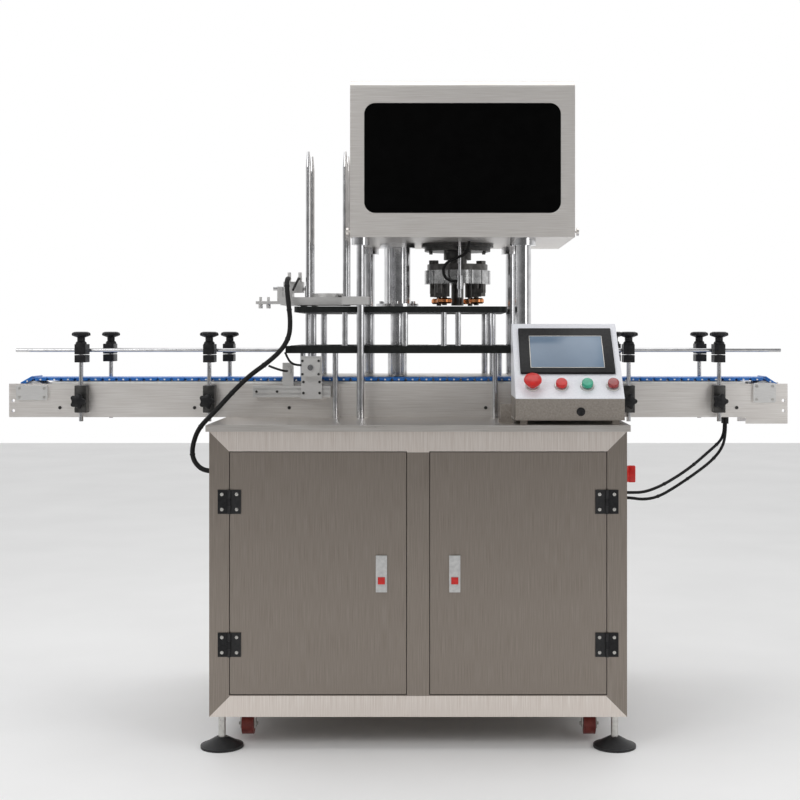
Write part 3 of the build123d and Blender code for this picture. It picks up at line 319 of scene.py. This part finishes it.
# ---- guide rails: rods, clamps and knobs on each body ----
FRONT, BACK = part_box("conveyor_side_front")[0][1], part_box("conveyor_side_rear")[1][1]
ROWS = (("front", FRONT, -1, {"left": (-0.866, -0.516), "right": (0.630, 0.877)},
         {"left": (-1.052, -0.330), "right": (0.600, 1.052)}),
        ("rear", BACK, 1, {"left": (-0.822, -0.484), "right": (0.610, 0.852)},
         {"left": (-0.840, -0.330), "right": (0.590, 0.880)}))
POST_OUT, RAIL_Z, KNOB_Z = 0.022, 1.000, 0.862
brackets, stars = bmesh.new(), bmesh.new()
for row, face, out, places, spans in ROWS:
    for side in ("left", "right"):
        node = f"guide_{row}_{side}"
        body = f"guide_{row[0]}{side[0]}"
        rods, blocks = bmesh.new(), bmesh.new()
        post_y, rail_y = face + out * POST_OUT, face - out * 0.004
        z0, z1 = RAIL_Z - 0.033, RAIL_Z + 0.017
        for x in places[side]:
            add_lathe(rods, bar(0.006, 0.206), at(x, post_y, 0.806), 32)
            ya, yb = sorted((post_y + out * 0.014, rail_y - out * 0.007))
            mid = (z0 + z1) / 2 - 0.004
            add_box(blocks, x - 0.015, x + 0.015, ya, yb, z0, mid - 0.0008, 0.0016)
            add_box(blocks, x - 0.015, x + 0.015, ya, yb, mid + 0.0008, z1, 0.0016)
            add_lathe(blocks, [(0.0145, 0), (0.015, 0.001), (0.014, 0.005), (0.0105, 0.008), (0.0105, 0.018),
                               (0.019, 0.021), (0.0245, 0.0235), (0.025, 0.027), (0.0235, 0.031), (0.017, 0.0338),
                               (0.004, 0.034)], at(x, post_y, z1), 96, 12, 0.035, (6, 7, 8))
            ya, yb = sorted((face + out * 0.0005, post_y + out * 0.010))
            add_box(brackets, x - 0.016, x + 0.016, ya, yb, 0.830, 0.904, 0.0015)
            axis = "-y" if out < 0 else "y"
            add_lathe(brackets, bar(0.008, 0.010), at(x - 0.002, post_y + out * 0.010, KNOB_Z, axis), 24)
            add_lathe(stars, [(0.009, 0), (0.010, 0.002), (0.0175, 0.0035), (0.019, 0.006), (0.019, 0.010),
                              (0.0165, 0.0125), (0.008, 0.0138), (0.003, 0.014)],
                      at(x - 0.002, post_y + out * 0.020, KNOB_Z, axis), 100, 5, 0.15, (2, 3, 4, 5))
        x0, x1 = spans[side]
        add_lathe(rods, bar(0.005, x1 - x0, 0.001), at(x0, rail_y, RAIL_Z, "x"), 32)
        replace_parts(piece(f"rods_{row}_{side}", rods, "chrome", body), node)
        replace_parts(piece(f"clamps_{row}_{side}", blocks, "black", body), node)
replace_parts(piece("bracket_blocks", brackets, "darksteel", "root"), "guide_brackets")
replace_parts(piece("star_knobs", stars, "black", "root"), "guide_brackets")

# ---- belt: slats round the loop, and the pins along both edges ----
(_, by0, bz0), (bx1, by1, bz1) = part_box("conveyor_belt")
PITCH, HALF = 0.0381, 0.0045               # of one slat: its length along the belt, half its thickness
R = (bz1 - bz0) / 2
MID_R = R - HALF
cx, cz = bx1 - R, (bz0 + bz1) / 2
flat = 2 * cx
loop = 2 * flat + 2 * math.pi * MID_R
count = round(loop / PITCH)
slats, pins = bmesh.new(), bmesh.new()


def along(s):
    """A place on the belt's loop: x, z and the turn about Y."""
    arc, r = math.pi * MID_R, MID_R
    s %= loop
    if s < flat:
        return -cx + s, cz + r, 0.0
    s -= flat
    if s < arc:
        a = s / r
        return cx + r * math.sin(a), cz + r * math.cos(a), a
    s -= arc
    if s < flat:
        return cx - s, cz - r, math.pi
    a = (s - flat) / r
    return -cx - r * math.sin(a), cz - r * math.cos(a), math.pi + a


for k in range(count):
    x, z, a = along((k + 0.5) * loop / count)
    place = Matrix.Translation((x, 0, z)) @ Matrix.Rotation(a, 4, "Y")
    add_box(slats, -0.0182, 0.0182, by0, by1, 0.0005, HALF, 0.0007, place)
    add_box(slats, -0.0155, 0.0155, by0 + 0.001, by1 - 0.001, -HALF, 0.0005, 0.0007, place)
    for y, axis in ((by0 + 0.0012, "-y"), (by1 - 0.0012, "y")):
        add_lathe(pins, [(0.0026, 0), (0.0026, 0.0006), (0.0018, 0.0011)], place @ at(0, y, -0.0012, axis), 16)
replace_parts(piece("belt_slats", slats, "blue", "root", 30), "conveyor_belt")
piece("belt_pins", pins, "plastic", "root")

# ---- screws ----
bright, dark = bmesh.new(), bmesh.new()
door_screws = {"left": bmesh.new(), "right": bmesh.new()}
for side, hx, s in (("left", -0.414, 1), ("right", 0.534, -1)):
    for hz in (0.2645, 0.6235):
        for dz in (-0.019, 0.019):
            for own, sign in ((door_screws[side], s), (bright, -s)):
                add_lathe(own, screw(0.0042, 0.0014), at(hx + sign * 0.0185, -0.404, hz + dz, "-y"), 20)
    piece(f"hinge_screws_{side}", door_screws[side], "zinc", f"door_{side}_body")
for x, z, w, h in ((1.005, 0.8835, 0.022, 0.018), (-1.005, 0.8835, 0.034, 0.012)):
    for sx in (-1, 1):
        for sz in (-1, 1):
            add_lathe(bright, screw(0.0036, 0.0022), at(x + sx * w, FRONT - 0.009, z + sz * h, "-y"), 20)
            add_lathe(bright, screw(0.0036, 0.0022), at(x + sx * w, BACK + 0.009, z + sz * h, "y"), 20)


def front_screws(radius, y, spots):
    for x, z in spots:
        add_lathe(dark, screw(radius, 0.003), at(x, y, z, "-y"), 20)


front_screws(0.0045, FRONT, [(x, 0.842) for x in (-0.93, -0.30, -0.56, 0.24, 0.56, 0.93)])
front_screws(0.0034, -0.146, [(x, z) for z in (0.972, 0.936) for x in (-0.257, -0.213)])
front_screws(0.0034, -0.118, [(x, z) for x in (-0.257, -0.213) for z in (0.884, 0.914)])
front_screws(0.0034, -0.108, [(x, 0.8875) for x in (-0.386, -0.330)])
for x in (-0.305, -0.162):
    for y in (-0.062, 0.046):
        add_lathe(dark, screw(0.005, 0.005), at(x, y, 1.146), 20)
piece("bright_screws", bright, "zinc", "root")
piece("dark_screws", dark, "darksteel", "root")

# ---- operator box: bezel, display and buttons on the sloped face ----
BOX = Vector((0.307, -0.372, 0.882))            # left end of the slope's lower edge
SLOPE = math.radians(45)


def on_face(along_x, up, out=0.0):
    y = BOX.y + up * math.cos(SLOPE) - out * math.sin(SLOPE)
    z = BOX.z + up * math.sin(SLOPE) + out * math.cos(SLOPE)
    return Matrix.Translation((BOX.x + along_x, y, z)) @ Matrix.Rotation(SLOPE, 4, "X")


W, BUTTONS_UP = 0.276, 0.042                    # the slope's width, and the buttons' height along it
bezel = bmesh.new()
add_box(bezel, -0.1225, 0.1225, -0.0815, 0.0815, -0.0019, 0.0051, 0.0022, on_face(W / 2, 0.165, 0.0016))
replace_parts(piece("panel_bezel", bezel, "black", "root"), "touch_screen")
glass, edge = bmesh.new(), bmesh.new()
add_box(glass, -0.094, 0.094, -0.056, 0.056, 0, 0.0010, 0.0004, on_face(W / 2, 0.158, 0.0066))
for x0, x1, y0, y1 in ((-0.096, 0.096, -0.058, -0.0563), (-0.096, 0.096, 0.0563, 0.058),
                       (-0.096, -0.0943, -0.058, 0.058), (0.0943, 0.096, -0.058, 0.058)):
    add_box(edge, x0, x1, y0, y1, 0, 0.0012, 0.0003, on_face(W / 2, 0.158, 0.0066))
piece("display_glass", glass, "screen", "root")
piece("display_edge", edge, "zinc", "root")
collars = bmesh.new()
KEYS = (("e_stop", 0.044, "red"), ("button_stop", 0.118, "red"), ("button_start", 0.184, "green"),
        ("button_reset", 0.250, "darkred"))
for name, along_x, mat in KEYS:
    bore = 0.0156 if name == "e_stop" else 0.0150
    add_ring(collars, [(bore, 0), (bore + 0.0032, 0), (bore + 0.0030, 0.0022), (bore + 0.0016, 0.0040),
                       (bore, 0.0042)],
             on_face(along_x, BUTTONS_UP), 64)
    cap = bmesh.new()
    if name == "e_stop":
        profile = [(0.008, -0.010), (0.008, 0.0085), (0.0145, 0.009), (0.0150, 0.018), (0.0215, 0.0195),
                   (0.0230, 0.0225), (0.0220, 0.0265), (0.0175, 0.0290), (0.0090, 0.0299), (0.0010, 0.0300)]
    else:
        profile = [(0.008, -0.010), (0.008, 0.006), (0.0140, 0.0062), (0.0145, 0.0075), (0.0145, 0.0150),
                   (0.0132, 0.0172), (0.0080, 0.0178), (0.0010, 0.0180)]
    add_lathe(cap, profile, on_face(along_x, BUTTONS_UP), 64)
    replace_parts(piece(f"cap_{name}", cap, mat, f"{name}_body"), name)
piece("button_collars", collars, "zinc", "root")
port = bmesh.new()
add_lathe(port, [(0.011, 0), (0.011, 0.0015), (0.0095, 0.0022), (0.008, 0.0008), (0.001, 0.0004)],
          at(BOX.x + 0.165, BOX.y, 0.848, "-y"), 40)
piece("cable_port_plug", port, "black", "root")

# ---- main switch's handle ----
hx0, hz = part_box("switch_base")[0][0], 0.678
turn = bmesh.new()
add_lathe(turn, [(0.009, 0.0045), (0.009, 0.0165), (0.0205, 0.017), (0.022, 0.0185),
                 (0.022, 0.0215), (0.0195, 0.023)],
          at(hx0, -0.250, hz, "x"), 64)
add_box(turn, hx0 + 0.0225, hx0 + 0.042, -0.257, -0.243, hz - 0.022, hz + 0.022, 0.003)
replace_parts(piece("switch_grip", turn, "red", "switch"), "switch_handle")

# ---- cords: smooth curves along the routes, which they meet at both ends ----
def cable(name, points, d, node):
    """The cord as a bevelled curve in place of the CAD node, and its middle line for the ties."""
    cu = bpy.data.curves.new(name, "CURVE")
    cu.dimensions = "3D"
    sp = cu.splines.new("NURBS")
    sp.points.add(len(points) - 1)
    for p, co in zip(sp.points, points):
        p.co = (co[0] * MM, co[1] * MM, co[2] * MM, 1)
    sp.order_u = 3
    sp.use_endpoint_u = True
    cu.resolution_u = 10
    bare = bpy.data.objects.new(name + "_line", cu)
    bpy.context.scene.collection.objects.link(bare)
    bpy.context.view_layer.update()
    me = bpy.data.meshes.new_from_object(bare)
    line = [v.co.copy() for v in me.vertices]
    bpy.data.meshes.remove(me)
    bare.name = name
    cu.bevel_depth = d / 2
    cu.bevel_resolution = 5
    cu.use_fill_caps = True
    cu.materials.append(M["rubber"])
    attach(bare, "root")
    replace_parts(bare, node)
    return bare, line


def ties(name, line, places, radius):
    bm = bmesh.new()
    for f in places:
        i = min(len(line) - 2, int(f * (len(line) - 1)))
        turn = (line[i + 1] - line[i]).to_track_quat("Z", "Y").to_matrix().to_4x4()
        add_lathe(bm, [(radius - 0.0004, -0.0022), (radius + 0.0006, -0.0019), (radius + 0.0006, 0.0019),
                       (radius - 0.0004, 0.0022)], Matrix.Translation(line[i]) @ turn, 24)
    return piece(name, bm, "black", "root")


HARNESS = [(-306, -44, 1198), (-306, -70, 1198), (-305, -95, 1185), (-302, -111, 1162), (-297, -118, 1123),
           (-292, -122, 1080), (-294, -128, 1038), (-314, -138, 1001), (-352, -150, 966), (-396, -163, 934),
           (-440, -169, 891), (-487, -173, 838), (-530, -180, 795), (-545, -187, 752), (-545.9, -194.4, 718.6),
           (-531.4, -197.3, 693.5), (-508, -200, 680), (-483, -200, 680)]
BRANCHES = {
    "branch_pusher": [(-276, -44, 1198), (-276, -60, 1198), (-278, -76, 1191), (-282, -89, 1179),
                      (-288, -99, 1164)],
    "branch_stop": [(-304, -143, 995), (-298, -145, 982), (-291, -136, 968), (-276, -130, 960), (-259, -130, 960)],
    "branch_sensor": [(-345.8, -155.5, 958.7), (-333, -163, 954), (-318, -163.5, 949), (-307, -154, 945.5),
                      (-301, -140, 944), (-301, -124, 944)],
}
RIGHT = {
    "cable_a": [(907, -25, 796), (907, -25, 776), (899, -38, 757), (884, -62, 744), (848, -92, 720),
                (804, -118, 688), (756, -144, 660), (706, -168, 636), (660, -186, 622),
                (624, -192, 622), (603, -192, 622)],
    "cable_b": [(907, -45, 796), (907, -45, 770), (896, -60, 732), (862, -86, 698), (812, -112, 666),
                (758, -134, 634), (704, -154, 606), (660, -168, 600), (624, -172, 606), (603, -172, 606)],
}
HOSE = [(196, 12, 1306), (196, 12, 1287), (186, 14, 1270), (168, 18, 1262), (149.5, 23, 1255), (130.5, 27.5, 1244),
        (122.4, 31.5, 1225.7), (127.2, 34.5, 1206.3), (143, 36, 1194), (162, 36, 1194)]


main, line = cable("harness_main", HARNESS, 0.013, "left_harness")
places = (0.12, 0.24, 0.36, 0.48, 0.6, 0.72, 0.84)
ties("harness_ties", line, places, 0.0068)
for name, points in BRANCHES.items():
    obj, line = cable(name, points, 0.006, "left_harness")
for name, points in RIGHT.items():
    obj, line = cable(name, points, 0.008, "right_cables")
    ties(name + "_ties", line, (0.3, 0.5, 0.7), 0.0043)
obj, line = cable("nozzle_hose", HOSE, 0.008, "head_hose")

# ---- stage, light, camera ----
floor = bmesh.new()
bmesh.ops.create_grid(floor, x_segments=1, y_segments=1, size=9)
me = bpy.data.meshes.new("floor")
floor.to_mesh(me)
floor.free()
me.materials.append(finish("pale_floor", (0.86, 0.86, 0.86), (0.90, 0.90, 0.90), 0, 0.7, 0.03, 2, bump=0.0))
ground = bpy.data.objects.new("floor", me)
bpy.context.scene.collection.objects.link(ground)
world = bpy.data.worlds.new("studio")
world.use_nodes = True
wt = world.node_tree
coord = wt.nodes.new("ShaderNodeTexCoord")
split = wt.nodes.new("ShaderNodeSeparateXYZ")
wt.links.new(coord.outputs["Generated"], split.inputs[0])
dim = wt.nodes.new("ShaderNodeValToRGB")        # a dark wall behind the camera, white behind the object
for e, (p, v) in zip(dim.color_ramp.elements, ((0.0, 0.16), (1.0, 1.0))):
    e.position, e.color = p, (v, v, v, 1)
dim.color_ramp.elements.new(0.40).color = (0.55, 0.55, 0.55, 1)
dim.color_ramp.elements.new(0.58).color = (1, 1, 1, 1)
lift = wt.nodes.new("ShaderNodeMapRange")
lift.inputs["From Min"].default_value, lift.inputs["From Max"].default_value = -1, 1
wt.links.new(split.outputs[1], lift.inputs["Value"])
wt.links.new(lift.outputs[0], dim.inputs[0])
wt.links.new(dim.outputs[0], wt.nodes["Background"].inputs[0])
wt.nodes["Background"].inputs[1].default_value = 1.0
bpy.context.scene.world = world
bpy.context.scene.view_settings.view_transform = "Standard"


def area(name, place, aim, size, power):
    lamp = bpy.data.lights.new(name, "AREA")
    lamp.shape, lamp.size, lamp.size_y, lamp.energy = "RECTANGLE", size[0], size[1], power
    o = bpy.data.objects.new(name, lamp)
    o.location = place
    o.rotation_euler = (Vector(aim) - Vector(place)).to_track_quat("-Z", "Y").to_euler()
    bpy.context.scene.collection.objects.link(o)


area("key", (-2.2, -3.0, 2.8), (0, 0, 1.0), (1.8, 1.4), 34)
area("fill", (2.6, -2.6, 1.8), (0, 0, 0.9), (1.4, 1.8), 20)
area("top", (0, -0.3, 3.6), (0, 0, 1.0), (2.6, 1.6), 22)
cam = bpy.data.cameras.new("camera")
cam.sensor_width, cam.lens = 36, 60.9
cam.shift_x, cam.shift_y = -0.0525, -0.085
view = bpy.data.objects.new("camera", cam)
view.location = (0.120, -3.8, 1.050)
view.rotation_euler = (math.pi / 2, 0, 0)
bpy.context.scene.collection.objects.link(view)
bpy.context.scene.camera = view
